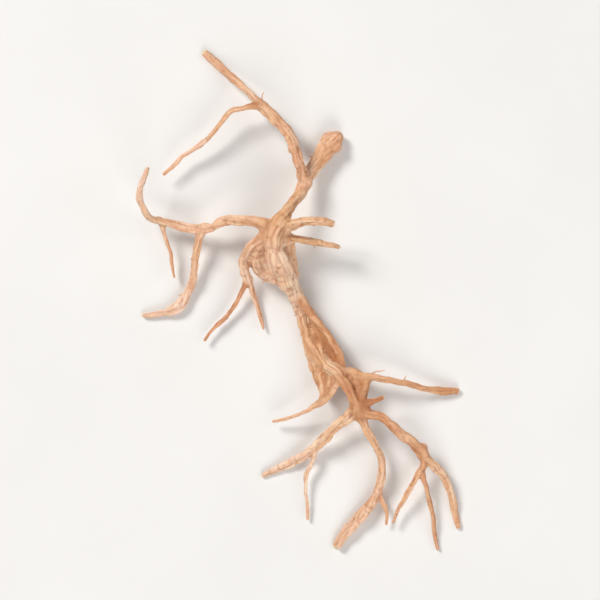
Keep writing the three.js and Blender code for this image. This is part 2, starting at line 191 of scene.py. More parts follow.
# How each limb ends: how far its tip is cut back as a share of its radius (1 leaves it round), and how ragged it is.
CUT_ENDS = {
    "east_upper": 0.25,
    "east_lower": 0.35,
    "stub": 0.2,
    "leg_left": 0.4,
    "right_arm": 0.5,
    "upper_fork": 0.45,
    "west_drop": 0.6,
    "leg_mid": 0.5,
}


# How much paler (or, below 0, more orange) a limb is than the rest: partly the limb's own colour, partly painted shade
# on sunken or shaded limbs and painted light on brighter ones.
LIMB_TONE_LIGHT_AND_SHADE = {
    "main": 0.05,
    "upper_fork": -0.06,
    "fork_hair": -0.05,
    "west_arm": 0.09,
    "west_drop": 0.14,
    "west_twig": -0.26,
    "down_arm": 0.24,
    "down_twig": -0.48,
    "flank": 0.13,
    "side_strand": 0.75,
    "east_upper": 0.02,
    "east_lower": 0.0,
    "limb_strand": -0.40,
    "inner_flank": 0.36,
    "inner_east": -0.14,
    "inner_upper": -0.74,
    "inner_lower": -0.34,
    "inner_right": -0.66,
    "hip": -0.10,
    "trunk_strand": -0.52,
    "right_arm": -0.16,
    "stub": -0.85,
    "leg_left": 0.30,
    "leg_left_twig": 0.30,
    "leg_mid": 0.05,
    "leg_mid_twig": -0.22,
    "leg_right_fork": -0.17,
    "leg_right_twig": 0.08,
}

# Stretches that are paler or darker than the rest of their limb, partly their own colour and partly painted light and
# shade: middle and half length in mm, and by how much.
STRETCH_TONE_LIGHT_AND_SHADE = {
    "main": (
        (1.0, 1.6, -0.24), (4.1, 1.7, 0.36), (10.3, 1.3, -0.18), (16.0, 3.3, 0.56),
        (20.7, 1.5, -0.28), (24.0, 4.6, -0.26), (25.0, 0.9, 0.42), (27.6, 1.4, -0.30),
    ),
    "upper_fork": ((1.5, 2.4, 0.16), (5.6, 0.8, 0.16), (9.4, 1.2, 0.40)),
    "fork_hair": ((0.8, 0.9, -0.40), (2.2, 0.6, -0.20), (7.6, 1.8, 0.30), (11.0, 0.8, -0.30)),
    "flank": ((4.4, 1.0, 0.30),),
    "hip": ((0.9, 1.6, 0.22), (3.9, 0.8, -0.18)),
    "limb_strand": ((0.3, 1.3, 0.42), (2.7, 0.9, 0.22), (7.9, 0.7, 0.40)),
    "right_arm": ((0.6, 1.0, 0.40), (2.3, 0.7, -0.14), (10.4, 1.8, -0.24)),
    "west_arm": ((8.2, 2.0, -0.16), (12.8, 0.7, -0.16), (15.0, 2.0, 0.34)),
    "west_drop": ((2.0, 0.9, -0.40),),
    "leg_right": ((1.6, 2.6, -0.44), (3.6, 0.6, -0.20), (6.6, 2.4, -0.20), (12.9, 1.3, 0.26)),
    "leg_left": ((1.6, 2.2, 0.10), (8.2, 2.2, 0.20)),
    "leg_mid": ((0.6, 0.8, 0.20), (2.0, 1.8, -0.14), (5.4, 1.8, 0.22), (9.4, 1.2, -0.16), (13.0, 1.6, 0.20)),
}

# Stretches with a pale bloom, partly dust and partly a painted highlight: middle and half length in mm, and how much.
BLOOM_AND_HIGHLIGHT = {
    "west_drop": ((8.0, 3.4, 0.85),),
    "west_arm": ((14.9, 2.2, 0.60), (6.5, 3.0, 0.22)),
    "fork_hair": ((7.6, 2.0, 0.70),),
    "leg_left": ((8.0, 2.2, 0.60),),
    "leg_left_twig": ((3.0, 5.0, 0.50),),
    "leg_mid": ((13.0, 1.8, 0.50),),
    "down_arm": ((3.0, 3.0, 0.30),),
    "side_strand": ((2.0, 2.0, 0.40),),
    "main": ((18.0, 1.2, 0.50), (13.5, 1.6, 0.20)),
}

# ---------------------------------------------------------------- noise
def _hash(ix, iy, iz, seed):
    h = (ix.astype(np.int64) * 73856093) ^ (iy.astype(np.int64) * 19349663) ^ (iz.astype(np.int64) * 83492791) ^ (seed * 2654435761)
    h = (h & 0xFFFFFFFF).astype(np.uint64)
    h = ((h ^ (h >> np.uint64(15))) * np.uint64(2246822519)) & np.uint64(0xFFFFFFFF)
    h = ((h ^ (h >> np.uint64(13))) * np.uint64(3266489917)) & np.uint64(0xFFFFFFFF)
    return (h ^ (h >> np.uint64(16))).astype(np.int64)


_G = np.array(
    [(1, 1, 0), (-1, 1, 0), (1, -1, 0), (-1, -1, 0), (1, 0, 1), (-1, 0, 1), (1, 0, -1), (-1, 0, -1),
     (0, 1, 1), (0, -1, 1), (0, 1, -1), (0, -1, -1), (1, 1, 0), (-1, 1, 0), (0, -1, 1), (0, -1, -1)],
    float,
)


def noise(p, seed=0):
    """Gradient noise at points p (n, 3), about -1 to 1."""
    i = np.floor(p).astype(np.int64)
    f = p - i
    u = f * f * f * (f * (f * 6 - 15) + 10)
    out = np.zeros(len(p))
    for dx in (0, 1):
        wx = u[:, 0] if dx else 1 - u[:, 0]
        for dy in (0, 1):
            wy = u[:, 1] if dy else 1 - u[:, 1]
            for dz in (0, 1):
                wz = u[:, 2] if dz else 1 - u[:, 2]
                g = _G[_hash(i[:, 0] + dx, i[:, 1] + dy, i[:, 2] + dz, seed) & 15]
                d = g[:, 0] * (f[:, 0] - dx) + g[:, 1] * (f[:, 1] - dy) + g[:, 2] * (f[:, 2] - dz)
                out += wx * wy * wz * d
    return out


def fbm(p, seed=0, octaves=3, gain=0.5):
    total, amp, out = 0.0, 1.0, np.zeros(len(p))
    for k in range(octaves):
        out += amp * noise(p * 2.03**k, seed + 17 * k)
        total += amp
        amp *= gain
    return out / total


def wave(s, seed, pitch):
    """Noise along a line at the distances s, about -1 to 1."""
    p = np.stack([np.asarray(s, float) / pitch, np.full(len(s), 0.37 + seed * 0.71), np.full(len(s), 0.53)], 1)
    return noise(p, seed) * 1.6


def smooth(lo, hi, x):
    t = np.clip((x - lo) / (hi - lo), 0, 1)
    return t * t * (3 - 2 * t)


# ---------------------------------------------------------------- limbs
def centripetal(points, per_mm=9.0):
    """Points along a centripetal Catmull-Rom curve, and the station number at each."""
    p = np.asarray(points, float)
    ext = np.vstack([2 * p[0] - p[1], p, 2 * p[-1] - p[-2]])
    out, at = [], []
    for i in range(len(p) - 1):
        a, b, c, d = ext[i : i + 4]
        dt = [max(np.linalg.norm(q - r), 1e-4) ** 0.5 for q, r in ((b, a), (c, b), (d, c))]
        m1 = ((b - a) / dt[0] - (c - a) / (dt[0] + dt[1]) + (c - b) / dt[1]) * dt[1]
        m2 = ((c - b) / dt[1] - (d - b) / (dt[1] + dt[2]) + (d - c) / dt[2]) * dt[1]
        n = max(3, int(np.linalg.norm(c - b) * per_mm))
        last = i == len(p) - 2
        t = np.linspace(0, 1, n + 1)[: None if last else -1, None]
        out.append((2 * t**3 - 3 * t**2 + 1) * b + (t**3 - 2 * t**2 + t) * m1 + (3 * t**2 - 2 * t**3) * c + (t**3 - t**2) * m2)
        at.append(i + t[:, 0])
    return np.vstack(out), np.concatenate(at)


class Limb:
    def __init__(self, name, stations, seed):
        st = np.array(stations, float)
        st[:, :3] -= CENTRING
        st[:, 2:] += FULLER.get(name, (0.0, 0.0))
        self.name, self.seed = name, seed
        P, at = centripetal(st[:, :3])
        s = np.concatenate([[0], np.cumsum(np.linalg.norm(np.diff(P, axis=0), axis=1))])
        r = np.interp(at, np.arange(len(st)), st[:, 3])
        self.length = s[-1]
        # small kinks of a root that shrank as it dried
        free = smooth(0.4, 1.8, s) * (0.35 + 0.65 * smooth(0.2, 1.2, P[:, 2] - r))
        for axis, size in ((0, 0.11), (1, 0.11), (2, 0.10)):
            P[:, axis] += size * free * wave(s, seed * 5 + axis, 2.1)
            P[:, axis] += 0.45 * size * free * wave(s, seed * 5 + axis + 60, 0.9)
        # swellings and pinches
        r = r * (1 + 0.11 * wave(s, seed + 100, 2.3) + 0.10 * wave(s, seed + 200, 0.8))
        self.P, self.R, self.S = P, r, s
        self.r0 = float(np.mean(r))
        T = np.gradient(P, axis=0)
        T /= np.linalg.norm(T, axis=1)[:, None]
        n = np.array([0.0, 0.0, 1.0])
        N = np.zeros_like(P)
        for i in range(len(P)):
            n = n - n.dot(T[i]) * T[i]
            n /= np.linalg.norm(n)
            N[i] = n
        self.T, self.N, self.B = T, N, np.cross(T, N)
        rng = np.random.default_rng(seed + 31)
        self.twist = rng.uniform(-0.22, 0.22)
        self.phase = rng.uniform(0, 6.28, 6)

    def nearest(self, Q):
        """For points Q (m, 3): field value (distance less radius), distance along, angle, radius."""
        A, D = self.P[:-1], np.diff(self.P, axis=0)
        L2 = (D * D).sum(1)
        out = [np.empty(len(Q)) for _ in range(4)]
        step = max(1, 3_000_000 // len(A))
        for k in range(0, len(Q), step):
            q = Q[k : k + step]
            W = q[:, None, :] - A[None]
            t = np.clip((W * D[None]).sum(2) / L2[None], 0, 1)
            X = W - t[..., None] * D[None]
            r = self.R[:-1] + t * (self.R[1:] - self.R[:-1])
            f = np.sqrt((X * X).sum(2)) - r
            j = f.argmin(1)
            i = np.arange(len(q))
            tj, Xj = t[i, j], X[i, j]
            nn = self.N[j] * (1 - tj[:, None]) + self.N[j + 1] * tj[:, None]
            bb = self.B[j] * (1 - tj[:, None]) + self.B[j + 1] * tj[:, None]
            out[0][k : k + step] = f[i, j]
            out[1][k : k + step] = self.S[j] + tj * (self.S[j + 1] - self.S[j])
            out[2][k : k + step] = np.arctan2((Xj * bb).sum(1), (Xj * nn).sum(1))
            out[3][k : k + step] = r[i, j]
        return out


limbs = [Limb(name, st, i + 1) for i, (name, st) in enumerate(LIMBS.items())]


# ---------------------------------------------------------------- field and surface
h = VOXEL
pad = 0.7
lo = np.min([l.P.min(0) - l.R.max() for l in limbs], axis=0) - pad
hi = np.max([l.P.max(0) + l.R.max() for l in limbs], axis=0) + pad
lo[2] = -4.5 * h
origin = lo
shape = np.ceil((hi - lo) / h).astype(int) + 1
field = np.full(shape, 3.0, np.float32)
grid = [origin[a] + h * np.arange(shape[a]) for a in range(3)]


def cells(a, b):
    """Index range of the grid that covers the box from a to b."""
    i0 = np.maximum(np.floor((a - origin) / h).astype(int), 0)
    i1 = np.minimum(np.ceil((b - origin) / h).astype(int) + 1, shape)
    return i0, i1


def blend_min(a, b, k):
    m = np.clip(0.5 + 0.5 * (b - a) / k, 0, 1)
    return b * (1 - m) + a * m - k * m * (1 - m)


def join(sub, i0, i1, k):
    part = field[i0[0] : i1[0], i0[1] : i1[1], i0[2] : i1[2]]
    part[...] = blend_min(part, sub, k)


for limb in limbs:
    reach = 0.5
    i0, i1 = cells(limb.P.min(0) - limb.R.max() - reach, limb.P.max(0) + limb.R.max() + reach)
    sub = np.full(i1 - i0, 3.0, np.float32)
    for a in range(0, len(limb.P) - 1, 5):
        b = min(a + 5, len(limb.P) - 1)
        r = limb.R[a : b + 1].max() + reach
        j0, j1 = cells(limb.P[a : b + 1].min(0) - r, limb.P[a : b + 1].max(0) + r)
        X = grid[0][j0[0] : j1[0]].astype(np.float32)[:, None, None]
        Y = grid[1][j0[1] : j1[1]].astype(np.float32)[None, :, None]
        Z = grid[2][j0[2] : j1[2]].astype(np.float32)[None, None, :]
        part = sub[tuple(slice(j0[q] - i0[q], j1[q] - i0[q]) for q in range(3))]
        for k in range(a, b):
            p, d = limb.P[k], limb.P[k + 1] - limb.P[k]
            t = np.clip(((X - p[0]) * d[0] + (Y - p[1]) * d[1] + (Z - p[2]) * d[2]) / d.dot(d), 0, 1)
            f = np.sqrt((X - p[0] - t * d[0]) ** 2 + (Y - p[1] - t * d[1]) ** 2 + (Z - p[2] - t * d[2]) ** 2)
            f -= limb.R[k] + t * (limb.R[k + 1] - limb.R[k])
            np.minimum(part, f, out=part)
    if limb.name in CUT_ENDS:  # a broken end: the round tip is taken off by a slightly tilted plane
        p, t, r = limb.P[-1], limb.T[-1] + 0.35 * limb.N[-1], limb.R[-1]
        t = t / np.linalg.norm(t)
        j0, j1 = cells(p - 1.6 * r - 0.4, p + 1.6 * r + 0.4)
        j0, j1 = np.maximum(j0, i0), np.minimum(j1, i1)
        X = grid[0][j0[0] : j1[0]][:, None, None]
        Y = grid[1][j0[1] : j1[1]][None, :, None]
        Z = grid[2][j0[2] : j1[2]][None, None, :]
        cut = (X - p[0]) * t[0] + (Y - p[1]) * t[1] + (Z - p[2]) * t[2] - r * CUT_ENDS[limb.name]
        part = sub[tuple(slice(j0[q] - i0[q], j1[q] - i0[q]) for q in range(3))]
        part[...] = -blend_min(-part, -cut, 0.08)
    join(sub, i0, i1, 0.16 + 0.42 * min(limb.r0, 0.6))

# knobs on the crowns and the blunt upper end: centre, radius
for x, y, z, r in (
    (-3.05, 6.9, 4.35, 0.55), (-1.35, 7.0, 4.2, 0.6), (-2.8, 5.2, 3.75, 0.42), (-2.2, 6.2, 3.4, 0.8),
    (3.15, 14.6, 0.95, 0.60), (2.35, 14.0, 1.2, 0.46), (3.3, 13.75, 1.0, 0.46), (2.6, 14.7, 0.8, 0.42),
    (5.0, -9.5, 2.75, 0.45), (5.75, -9.6, 2.4, 0.42), (5.3, -10.3, 2.1, 0.4), (3.6, -6.1, 2.0, 0.42), (0.75, 10.6, 2.3, 0.45),
    (11.0, -12.9, 2.1, 0.36), (-8.3, 6.6, 2.3, 0.36), (-5.0, 2.6, 1.75, 0.27), (1.25, -13.3, 0.9, 0.3),
):
    c = np.array([x, y, z]) - CENTRING
    i0, i1 = cells(c - r - 0.5, c + r + 0.5)
    X = grid[0][i0[0] : i1[0]][:, None, None]
    Y = grid[1][i0[1] : i1[1]][None, :, None]
    Z = grid[2][i0[2] : i1[2]][None, None, :]
    join((np.sqrt((X - c[0]) ** 2 + (Y - c[1]) ** 2 + (Z - c[2]) ** 2) - r).astype(np.float32), i0, i1, 0.34)

# nothing reaches below the floor
field = -blend_min(-field, grid[2][None, None, :].astype(np.float32), 0.05)


def settle(F):
    """Fills in a corner of each grid square whose inside and outside corners alternate, because two sheets of skin
    would share an edge there."""
    for _ in range(20):
        changed = 0
        for u, v in ((1, 2), (0, 2), (0, 1)):
            inside = F < 0

            def corner(du, dv):
                return tuple(slice(1, None) if (k == u and du) or (k == v and dv) else slice(0, -1) if k in (u, v) else slice(None) for k in range(3))

            a, b, c, d = inside[corner(0, 0)], inside[corner(1, 0)], inside[corner(1, 1)], inside[corner(0, 1)]
            for at in np.argwhere((a == c) & (b == d) & (a != b)):
                four = []
                for du, dv in ((0, 0), (1, 0), (1, 1), (0, 1)):
                    q = at.copy()
                    q[u] += du
                    q[v] += dv
                    four.append(tuple(q))
                outside = [q for q in four if F[q] >= 0]
                if len(outside) == 2:
                    F[min(outside, key=lambda q: F[q])] = -0.02 * h
                    changed += 1
        if not changed:
            break


def surface(F):
    """Surface nets: one point in each cell that the surface crosses, one quad for each grid edge that it crosses."""
    inside = F < 0
    count = np.zeros(np.array(F.shape) - 1, np.uint8)
    for dx in (0, 1):
        for dy in (0, 1):
            for dz in (0, 1):
                count += inside[dx : dx + count.shape[0], dy : dy + count.shape[1], dz : dz + count.shape[2]]
    active = (count > 0) & (count < 8)
    number = np.full(active.shape, -1, np.int32)
    where = np.argwhere(active)
    number[active] = np.arange(len(where))
    acc, n = np.zeros((len(where), 3)), np.zeros(len(where))
    corners = [(a, b, c) for a in (0, 1) for b in (0, 1) for c in (0, 1)]
    values = {c: F[tuple((where + c).T)].astype(float) for c in corners}
    for c in corners:
        for axis in range(3):
            if c[axis]:
                continue
            e = list(c)
            e[axis] = 1
            fa, fb = values[c], values[tuple(e)]
            m = (fa < 0) != (fb < 0)
            t = np.where(m, fa / np.where(m, fa - fb, 1), 0)
            at = np.tile(np.array(c, float), (len(where), 1))
            at[:, axis] = t
            acc += at * m[:, None]
            n += m
    verts = origin + h * (where + acc / n[:, None])
    quads = []
    for axis in range(3):
        u, v = (axis + 1) % 3, (axis + 2) % 3
        a = [slice(1, -1)] * 3
        b = [slice(1, -1)] * 3
        a[axis], b[axis] = slice(0, -1), slice(1, None)
        ia, ib = inside[tuple(a)], inside[tuple(b)]
        for flip, m in ((False, ia & ~ib), (True, ib & ~ia)):
            at = np.argwhere(m)
            at[:, u] += 1
            at[:, v] += 1
            q = []
            for du, dv in ((-1, -1), (0, -1), (0, 0), (-1, 0)):
                c = at.copy()
                c[:, u] += du
                c[:, v] += dv
                q.append(number[tuple(c.T)])
            q = np.stack(q, 1)
            quads.append(q[:, ::-1] if flip else q)
    return verts, np.vstack(quads)


settle(field)
V, Q = surface(field)
del field


def vertex_normals(V, Q):
    n = np.cross(V[Q[:, 2]] - V[Q[:, 0]], V[Q[:, 3]] - V[Q[:, 1]])
    out = np.zeros_like(V)
    for k in range(4):
        for a in range(3):
            out[:, a] += np.bincount(Q[:, k], n[:, a], len(V))
    return out / np.maximum(np.linalg.norm(out, axis=1), 1e-12)[:, None]


def relax(V, Q, times, share):
    """Evens the surface out by moving each point towards the mean of its neighbours."""
    a = np.concatenate([Q[:, 0], Q[:, 1], Q[:, 2], Q[:, 3]])
    b = np.concatenate([Q[:, 1], Q[:, 2], Q[:, 3], Q[:, 0]])
    n = np.bincount(a, minlength=len(V)) + np.bincount(b, minlength=len(V))
    for _ in range(times):
        m = np.stack([np.bincount(a, V[b, k], len(V)) + np.bincount(b, V[a, k], len(V)) for k in range(3)], 1)
        V = V + share * (m / np.maximum(n, 1)[:, None] - V)
    return V


V = relax(V, Q, 2, 0.5)
V = relax(V, Q, 1, -0.45)
NORMAL = vertex_normals(V, Q)

# ---------------------------------------------------------------- wrinkles
NV = len(V)
weight = np.zeros(NV)
push = np.zeros(NV)
masks = {k: np.zeros(NV) for k in ("furrow", "tone", "tip", "cut", "girth", "ring", "slit", "nub", "bloom_and_highlight")}
fibre = np.zeros((NV, 3))
lean = np.zeros((NV, 3))  # which way the limb runs, towards its tip
best = np.full(NV, 9.0)
near = []
for limb in limbs:
    a, b = limb.P.min(0) - limb.R.max() - 0.6, limb.P.max(0) + limb.R.max() + 0.6
    idx = np.where(((V > a) & (V < b)).all(1))[0]
    f, s, th, r = limb.nearest(V[idx])
    keep = f < 0.55
    idx, f, s, th, r = idx[keep], f[keep], s[keep], th[keep], r[keep]
    best[idx] = np.minimum(best[idx], f)
    near.append((limb, idx, f, s, th, r))

for limb, idx, f, s, th, r in near:
    w = np.exp(-(f - best[idx]) / 0.07)
    # a limb's own pattern fades in as it leaves its parent
    w *= 0.04 + 0.96 * smooth(-0.1, 0.9, s - 0.5 * r)
    turn = th + limb.twist * s + 0.25 * wave(s, limb.seed + 300, 3.0)
    rr = max(limb.r0, 0.3)
    c, sn = np.cos(turn), np.sin(turn)
    # long furrows, as wide everywhere, so a thick limb has more of them
    p = np.stack([rr * c / 0.50, rr * sn / 0.50, s / 2.6], 1)
    p2 = np.stack([rr * c / 0.24, rr * sn / 0.24, s / 1.4], 1)
    n1 = fbm(p + 0.35 * noise(p * 0.9, limb.seed + 9)[:, None], limb.seed, 2)
    n2 = fbm(p2 + 3.3, limb.seed + 40, 2)
    valley = np.clip(1 - np.abs(n1) * 3.5, 0, 1) ** 1.15
    fine = np.clip(1 - np.abs(n2) * 3.6, 0, 1) ** 1.2
    # a section that shrank unevenly
    lobe = (
        0.12 * np.cos(2 * turn + limb.phase[0] + 0.5 * wave(s, limb.seed + 310, 4.0))
        + 0.07 * np.cos(3 * turn + limb.phase[1] + 0.9 * wave(s, limb.seed + 320, 3.0))
        + 0.12 * noise(np.stack([c * 1.1, sn * 1.1, s / 1.3], 1), limb.seed + 50)
    )
    # cross rings, most on the thick root and near forks
    across = noise(np.stack([c * 0.8 + 7, sn * 0.8, s / 0.30 + 0.5 * noise(np.stack([c, sn, s], 1), 3)], 1), limb.seed + 70)
    ringed = np.clip(-across * 2.2 - 0.15, 0, 1)
    amount = 0.35 + 0.65 * smooth(-0.25, 0.45, wave(s, limb.seed + 330, 2.6))
    depth = np.minimum(0.215 * r, 0.16)
    d = r * lobe * smooth(0.0, 0.8, s) - depth * valley * (0.55 + 0.45 * amount) - 0.30 * depth * fine - 0.46 * depth * ringed * (0.4 + 0.6 * amount)
    d += 0.06 * np.minimum(r, 0.7) * noise(np.stack([c * rr / 0.16, sn * rr / 0.16, s / 0.30], 1), limb.seed + 80)
    # short cross slits and small nubs, where rootlets once were
    slit, nub = 0.0 * s, 0.0 * s
    dice = np.random.default_rng(limb.seed * 11 + 3)
    for _ in range(int(limb.length * limb.r0 * 3.2)):
        s0, t0 = dice.uniform(0.5, limb.length - 0.3), dice.uniform(-math.pi, math.pi)
        across_mm = r * np.abs((th - t0 + math.pi) % (2 * math.pi) - math.pi)
        size = dice.uniform(0.6, 1.3)
        if dice.random() < 0.6:
            hit = np.exp(-((across_mm / (0.20 * size)) ** 2) - ((s - s0 - 0.15 * across_mm) / (0.055 * size)) ** 2)
            slit = np.maximum(slit, hit)
            nub = np.maximum(nub, 0.45 * np.exp(-((across_mm / (0.24 * size)) ** 2) - ((s - s0) / (0.15 * size)) ** 2))
        else:
            nub = np.maximum(nub, np.exp(-((across_mm / (0.15 * size)) ** 2) - ((s - s0) / (0.19 * size)) ** 2))
    d += 0.065 * nub - 0.045 * slit
    calm = {"inner_flank": 0.5, "inner_east": 0.7}.get(limb.name, 1.0)  # sunken flesh is smoother
    d *= calm
    end = limb.length - s
    tip = 1 - smooth(0.2, 2.8 if limb.length > 6 else 1.6, end)
    cut_at = limb.P[-1] + limb.T[-1] * limb.R[-1] * CUT_ENDS.get(limb.name, 1)
    flat = np.clip(1 - np.linalg.norm(V[idx] - cut_at, axis=1) / (1.05 * limb.R[-1]), 0, 1) ** 0.5 if limb.name in CUT_ENDS else 0.0 * s
    tone = 0.5 + 0.5 * fbm(np.stack([c * rr / 0.8, sn * rr / 0.8, s / 2.8], 1), limb.seed + 90, 3) * 1.7
    # limb and stretch offsets: partly own colour, partly painted light and shade
    tone += 0.10 * wave(s, limb.seed + 340, 5.0) + LIMB_TONE_LIGHT_AND_SHADE.get(limb.name, 0.0)
    for middle, half, by in STRETCH_TONE_LIGHT_AND_SHADE.get(limb.name, ()):
        tone += by * np.exp(-(((s - middle) / half) ** 2))
    # pale bloom: partly dust, partly a painted highlight
    bloom_and_highlight = 0.0 * s
    for middle, half, by in BLOOM_AND_HIGHLIGHT.get(limb.name, ()):
        bloom_and_highlight += by * np.exp(-(((s - middle) / half) ** 2))
    masks["bloom_and_highlight"][idx] += w * np.clip(bloom_and_highlight, 0, 1)
    push[idx] += w * d
    weight[idx] += w
    masks["furrow"][idx] += w * calm * np.clip(0.75 * valley + 0.45 * fine, 0, 1)
    masks["ring"][idx] += w * calm * ringed * (0.4 + 0.6 * amount)
    masks["slit"][idx] += w * calm * slit
    masks["nub"][idx] += w * nub
    masks["tone"][idx] += w * np.clip(tone, -0.3, 1)
    masks["tip"][idx] += w * tip
    masks["cut"][idx] += w * flat
    masks["girth"][idx] += w * np.clip(r / 1.2, 0, 1)
    lean[idx] += w[:, None] * np.stack([np.interp(s, limb.S, limb.T[:, k]) for k in range(3)], 1)
    fibre[idx] += w[:, None] * np.stack([rr * c + limb.seed * 3.1, rr * sn, s * 0.16], 1)
weight = np.maximum(weight, 1e-9)
push /= weight
for k in masks:
    masks[k] /= weight
fibre /= weight[:, None]
lean /= weight[:, None]
push -= 0.02
# junction mask: where two limbs are equally near; the material paints shade there
crowd = np.zeros(NV)
for limb, idx, f, s, th, r in near:
    crowd[idx] += np.exp(-(f - best[idx]) / 0.10) * smooth(0.0, 0.6, s)
fork = smooth(1.15, 1.9, crowd)

rng = np.random.default_rng(SEED)
floor_fade = smooth(0.0, 0.12, V[:, 2])
V = V + NORMAL * (push * (0.3 + 0.7 * floor_fade))[:, None]
V[:, 2] = np.maximum(V[:, 2], 0.0)
V = relax(V, Q, 1, 0.12)

# how hollow each point is, from the shaped surface itself
N2 = vertex_normals(V, Q)
a = np.concatenate([Q[:, 0], Q[:, 1], Q[:, 2], Q[:, 3]])
b = np.concatenate([Q[:, 1], Q[:, 2], Q[:, 3], Q[:, 0]])
n = np.bincount(a, minlength=NV) + np.bincount(b, minlength=NV)
curve = ((N2[b] - N2[a]) * (V[b] - V[a])).sum(1) / np.maximum(((V[b] - V[a]) ** 2).sum(1), 1e-9)
bend = (np.bincount(a, curve, NV) + np.bincount(b, curve, NV)) / np.maximum(n, 1)
for _ in range(2):
    bend = 0.5 * bend + 0.5 * (np.bincount(a, bend[b], NV) + np.bincount(b, bend[a], NV)) / np.maximum(n, 1)
own = 1 / np.maximum(masks["girth"] * 1.2, 0.15)  # what a round limb would bend by
hollow = np.clip((0.35 * own - bend) / 4.0, 0, 1)
ridge = np.clip((bend - 1.1 * own) / 6.0, 0, 1)

# ---------------------------------------------------------------- hairs: short broken stubs of fine rootlets
stub_v, stub_q, stub_attr = [], [], []
base = NV
count = 0
for i in rng.permutation(np.where((masks["girth"] > 0.16) & (masks["tip"] < 0.6) & (V[:, 2] > 0.3))[0]):
    if count == 20:
        break
    if count and min(np.linalg.norm(V[i] - s[0]) for s in stub_attr) < 1.4:
        continue
    if not -0.3 < N2[i, 2] < 0.7 or fork[i] > 0.1 or masks["girth"][i] > 0.62 or abs(V[i, 0]) > 12.8 or abs(V[i, 1]) > 20.6:
        continue
    if V[i, 0] > 1.8 and V[i, 1] > 12.8:  # the blunt upper end has none
        continue
    long = rng.uniform(0.2, 0.6) if count % 3 else rng.uniform(0.8, 1.4)
    thick0 = rng.uniform(0.06, 0.09) * (1.1 if long > 0.9 else 1)
    sides, rings_n = 6, max(4, int(long / 0.12))
    d = 0.8 * N2[i] + 0.9 * lean[i] + rng.normal(0, 0.25, 3)
    d[2] = abs(d[2]) * 0.6 if V[i, 2] < 1.0 else d[2] * 0.7
    d /= np.linalg.norm(d)
    sag = rng.normal(0, 1.5, 3)
    p = V[i] - N2[i] * 0.05
    pts, dirs = [p.copy()], [d.copy()]
    for k in range(rings_n):
        d = d + sag * (long / rings_n) * 0.9 + rng.normal(0, 0.12, 3)
        d /= np.linalg.norm(d)
        p = p + d * (long / rings_n)
        p[2] = max(p[2], 0.08)
        pts.append(p.copy())
        dirs.append(d.copy())
    up = np.array([0.0, 0.0, 1.0]) if abs(dirs[0][2]) < 0.8 else np.array([1.0, 0.0, 0.0])
    first = base + sum(len(x) for x in stub_v)
    ring_v = []
    for k, (p, d) in enumerate(zip(pts, dirs)):
        up = up - up.dot(d) * d
        up /= np.linalg.norm(up)
        side = np.cross(d, up)
        r = thick0 * (1.5 - 0.5 * min(1, k / 1.5)) * (1 - 0.45 * k / rings_n) * (0.55 if k == rings_n else 1)
        ring_v += [p + r * (math.cos(t) * up + math.sin(t) * side) for t in np.arange(sides) * 2 * math.pi / sides]
    ring_v += [pts[0], pts[-1] + dirs[-1] * thick0 * 0.3]
    stub_v.append(np.array(ring_v))
    for k in range(rings_n):
        for t in range(sides):
            u = (t + 1) % sides
            stub_q.append([first + k * sides + t, first + k * sides + u, first + (k + 1) * sides + u, first + (k + 1) * sides + t])
    foot, head = first + (rings_n + 1) * sides, first + (rings_n + 1) * sides + 1
    for t in range(sides):
        u = (t + 1) % sides
        stub_q.append([foot, first + u, first + t, -1])
        stub_q.append([head, first + rings_n * sides + t, first + rings_n * sides + u, -1])
    stub_attr.append((V[i], i, len(ring_v)))
    count += 1

extra = np.vstack(stub_v)
source = np.concatenate([np.full(k, i) for _, i, k in stub_attr])
VERTS = np.vstack([V, extra])


def carried(values, fill=None):
    return np.concatenate([values, values[source] if fill is None else np.full(len(source), fill)])


ATTRS = {
    "furrow": carried(masks["furrow"], 0.15),
    "ring": carried(masks["ring"], 0.2),
    "tone": carried(masks["tone"], 0.30),
    "tip": carried(masks["tip"], 0.75),
    "cut": carried(masks["cut"], 0.0),
    "girth": carried(masks["girth"], 0.05),
    "fork": carried(fork, 0.0),
    "slit": carried(masks["slit"], 0.0),
    "nub": carried(masks["nub"], 0.0),
    "bloom_and_highlight": carried(masks["bloom_and_highlight"], 0.0),
    "hollow": carried(hollow, 0.0),
    "ridge": carried(ridge, 0.0),
}
FIBRE = np.vstack([fibre, extra * 1.7 + 40])

faces = [list(map(int, q)) for q in Q] + [[v for v in q if v >= 0] for q in stub_q]
mesh = bpy.data.meshes.new("root_skin_mesh")
mesh.from_pydata((VERTS * MM).tolist(), [], faces)
mesh.update()
mesh.polygons.foreach_set("use_smooth", np.ones(len(mesh.polygons), bool))
for name, values in ATTRS.items():
    mesh.attributes.new(name, "FLOAT", "POINT").data.foreach_set("value", values.astype(np.float32))
mesh.attributes.new("fibre", "FLOAT_VECTOR", "POINT").data.foreach_set("vector", FIBRE.astype(np.float32).ravel())
root = bpy.data.objects.new("root_skin", mesh)
bpy.context.scene.collection.objects.link(root)
print("skin:", len(VERTS), "points,", sum(len(f) - 2 for f in faces), "triangles")


# ---------------------------------------------------------------- material
def material(name):
    m = bpy.data.materials.new(name)
    m.use_nodes = True
    m.node_tree.nodes.clear()
    return m, m.node_tree.nodes, m.node_tree.links


def srgb(r, g, b):
    return tuple(((c / 255 + 0.055) / 1.055) ** 2.4 if c > 10 else c / 255 / 12.92 for c in (r, g, b)) + (1.0,)


mat, N, L = material("dried_root_skin")


def node(kind, **kw):
    n = N.new(kind)
    for k, v in kw.items():
        setattr(n, k, v)
    return n


def attr(name, vector=False):
    n = node("ShaderNodeAttribute", attribute_name=name)
    return n.outputs["Vector" if vector else "Fac"]


